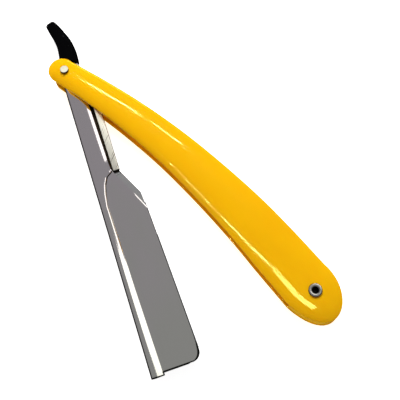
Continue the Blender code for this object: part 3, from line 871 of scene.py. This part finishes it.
def make_blade(look):
    """Half a double-edged blade, ground to its edge on both faces."""
    flat = [(BLADE_LENGTH, -BLADE_GRIND), (0, -BLADE_GRIND)] + blade_outline()
    edge = [(BLADE_LENGTH, 0), (0, 0)] + blade_outline()
    thin, side = 0.004, 0.9 * BLADE_HALF
    rings = [[(x, y, -BLADE_HALF) for x, y in flat]]
    rings += [[(x, y, outwards * (thin if y == 0 else side)) for x, y in edge] for outwards in (-1, 1)]
    rings += [[(x, y, BLADE_HALF) for x, y in flat]]
    vertices, faces = lofted(rings)
    (start, low), (end, high) = EDGE_AT_JAW_START, EDGE_AT_JAW_END
    slope = math.atan2(high - low, end - start)
    tail = JAW_END - BLADE_FROM_TIP - BLADE_LENGTH
    corner = Vector((tail, jaw_edge(tail) + BLADE_EXPOSURE, 0))
    seat = Matrix.Translation(corner) @ Matrix.Rotation(slope, 4, "Z")
    blade = build("half_blade_ground", vertices, faces, arm_frame() @ seat, sharp=2)
    dress(blade, look["blade"], "blade", "blade_steel", "half_blade")


# ---------------------------------------------------------------- stage

HANDLE_PIECES = ("front_scale_moulding", "back_scale_moulding", "tail_spacer_moulding")
FACE_LIT_PIECES = ("pivot_pin_peened", "tang_bar_flat")
METAL_PIECES = ("blade_holder_sheet", "half_blade_ground", "tail_rivet_rolled", *FACE_LIT_PIECES)
HANDLE_STRIPS = (  # name, start, end, width, radiance
    ("upper_line_head", (-0.1966, 0.0582, 0.246), (-0.1487, 0.1045, 0.2405), 0.007, 240),
    ("upper_line_middle", (-0.137, 0.119, 0.238), (-0.106, 0.1316, 0.240), 0.007, 200),
    ("lower_line_middle", (-0.1065, -0.120, 0.245), (-0.070, -0.127, 0.248), 0.005, 150),
    ("lower_line_tail", (-0.0597, -0.1195, 0.254), (-0.0038, -0.0595, 0.282), 0.005, 170),
    ("rim_line_head", (-0.23, 0.19, 0.012), (-0.17, 0.25, 0.03), 0.03, 8),
    ("tail_line", (0.0, -0.0575, 0.282), (0.095, -0.060, 0.285), 0.045, 45),
)
STRIP_TINT = (1.0, 0.93, 0.25)
PANEL_TINT = (1.0, 0.98, 0.90)
STAGE_CENTRE = (0.0, -0.01, 0.0)
FLOOR_HALF = 4.0
FLOOR_LEVEL = -0.0004
CAMERA_PLACE = (0.07386, -0.05313, 0.22506)
CAMERA_TARGET = (0.01103, -0.00726, 0.0055)
CAMERA_ROLL = -0.76281
CAMERA_LENS = 57.22


def area_light(name, place, target, size, watts, colour):
    """A soft rectangular light, turned to its target."""
    data = bpy.data.lights.new(name, "AREA")
    data.shape = "RECTANGLE"
    data.size, data.size_y = size
    data.energy = watts
    data.color = colour
    light = bpy.data.objects.new(name, data)
    bpy.context.scene.collection.objects.link(light)
    light.location = place
    light.rotation_euler = (Vector(target) - Vector(place)).to_track_quat("-Z", "Y").to_euler()
    return light


def strip_light(name, start, end, width, radiance, colour):
    """A narrow tube of light between two points, turned to the razor, that is seen in reflections only."""
    start, end = Vector(start), Vector(end)
    place, long_side = (start + end) / 2, (end - start)
    watts = math.pi * long_side.length * width * radiance
    light = area_light(name, place, (0, 0, 0), (long_side.length, width), watts, colour)
    back = place.normalized()
    sideways = back.cross(long_side).normalized()
    straight = sideways.cross(back)
    light.rotation_euler = Matrix((straight, sideways, back)).transposed().to_euler()
    light.visible_diffuse = False
    return light


def light_only(light, pieces):
    """Limits a light to some of the pieces, as a flag or a screen does in a studio."""
    receivers = bpy.data.collections.new(light.name + "_receivers")
    for piece in pieces:
        receivers.objects.link(bpy.data.objects[piece])
    light.light_linking.receiver_collection = receivers


def make_floor():
    """Plain pale paper under the razor."""
    mesh = bpy.data.meshes.new("floor")
    corners = [(x * FLOOR_HALF, y * FLOOR_HALF, FLOOR_LEVEL) for x, y in ((-1, -1), (1, -1), (1, 1), (-1, 1))]
    mesh.from_pydata(corners, [], [(0, 1, 2, 3)])
    floor = bpy.data.objects.new("floor", mesh)
    bpy.context.scene.collection.objects.link(floor)
    n = Nodes("floor_paper")
    n.into("Base Color", n.ramp(n.noise((0.05, 0.05, 0.05), detail=2), ((0.3, 0.86), (0.7, 0.88))))
    n.into("Roughness", 0.9)
    n.into("Emission Color", (1.0, 1.0, 1.0, 1.0))
    n.into("Emission Strength", 0.85)
    mesh.materials.append(n.material)
    floor.visible_glossy = False


def make_world():
    """A grey room that is lighter overhead."""
    world = bpy.data.worlds.new("studio")
    world.use_nodes = True
    nodes, links = world.node_tree.nodes, world.node_tree.links
    background = nodes["Background"]
    sight, split = nodes.new("ShaderNodeTexCoord"), nodes.new("ShaderNodeSeparateXYZ")
    walls = nodes.new("ShaderNodeValToRGB")
    walls.color_ramp.elements[0].color = (0.06, 0.058, 0.056, 1)
    walls.color_ramp.elements[1].position = 0.35
    walls.color_ramp.elements[1].color = (0.23, 0.227, 0.23, 1)
    links.new(sight.outputs["Generated"], split.inputs["Vector"])
    links.new(split.outputs["Z"], walls.inputs["Fac"])
    links.new(walls.outputs["Color"], background.inputs["Color"])
    background.inputs["Strength"].default_value = 1.0
    bpy.context.scene.world = world


def make_lights():
    """A panel for the metal, a panel for the flat faces, a soft key light, and the handle's strips."""
    panel = area_light("upper_panel", (-0.01, 0.28, 0.27), STAGE_CENTRE, (0.38, 0.40), 0.52, PANEL_TINT)
    light_only(panel, METAL_PIECES)
    face_panel = area_light("face_panel", (-0.20, 0.05, 0.26), STAGE_CENTRE, (0.24, 0.22), 0.18, PANEL_TINT)
    light_only(face_panel, FACE_LIT_PIECES)
    key = area_light("key_light", (-0.25, 0.2, 0.45), STAGE_CENTRE, (0.3, 0.3), 3.2, (1.0, 0.99, 0.96))
    key.visible_glossy = False
    for name, start, end, width, radiance in HANDLE_STRIPS:
        light_only(strip_light(name, start, end, width, radiance, STRIP_TINT), HANDLE_PIECES)


def make_camera():
    data = bpy.data.cameras.new("camera")
    data.sensor_width = 36.0
    data.lens = CAMERA_LENS
    data.clip_start = 0.01
    camera = bpy.data.objects.new("camera", data)
    bpy.context.scene.collection.objects.link(camera)
    camera.location = CAMERA_PLACE
    forward = (Vector(CAMERA_TARGET) - camera.location).normalized()
    upward = Vector((math.sin(CAMERA_ROLL), math.cos(CAMERA_ROLL), 0.0))
    right = forward.cross(upward).normalized()
    up = right.cross(forward)
    camera.rotation_euler = Matrix((right, up, -forward)).transposed().to_euler()
    bpy.context.scene.camera = camera


def main():
    look = make_materials()
    make_handle(look)
    make_pivot_pin(look)
    make_tail_rivet(look)
    make_rings(look)
    make_holder(look)
    make_tang_bar(look)
    make_thumb_rest(look)
    make_blade(look)
    make_floor()
    make_world()
    make_lights()
    make_camera()
    bpy.context.scene.view_settings.view_transform = "Standard"


main()
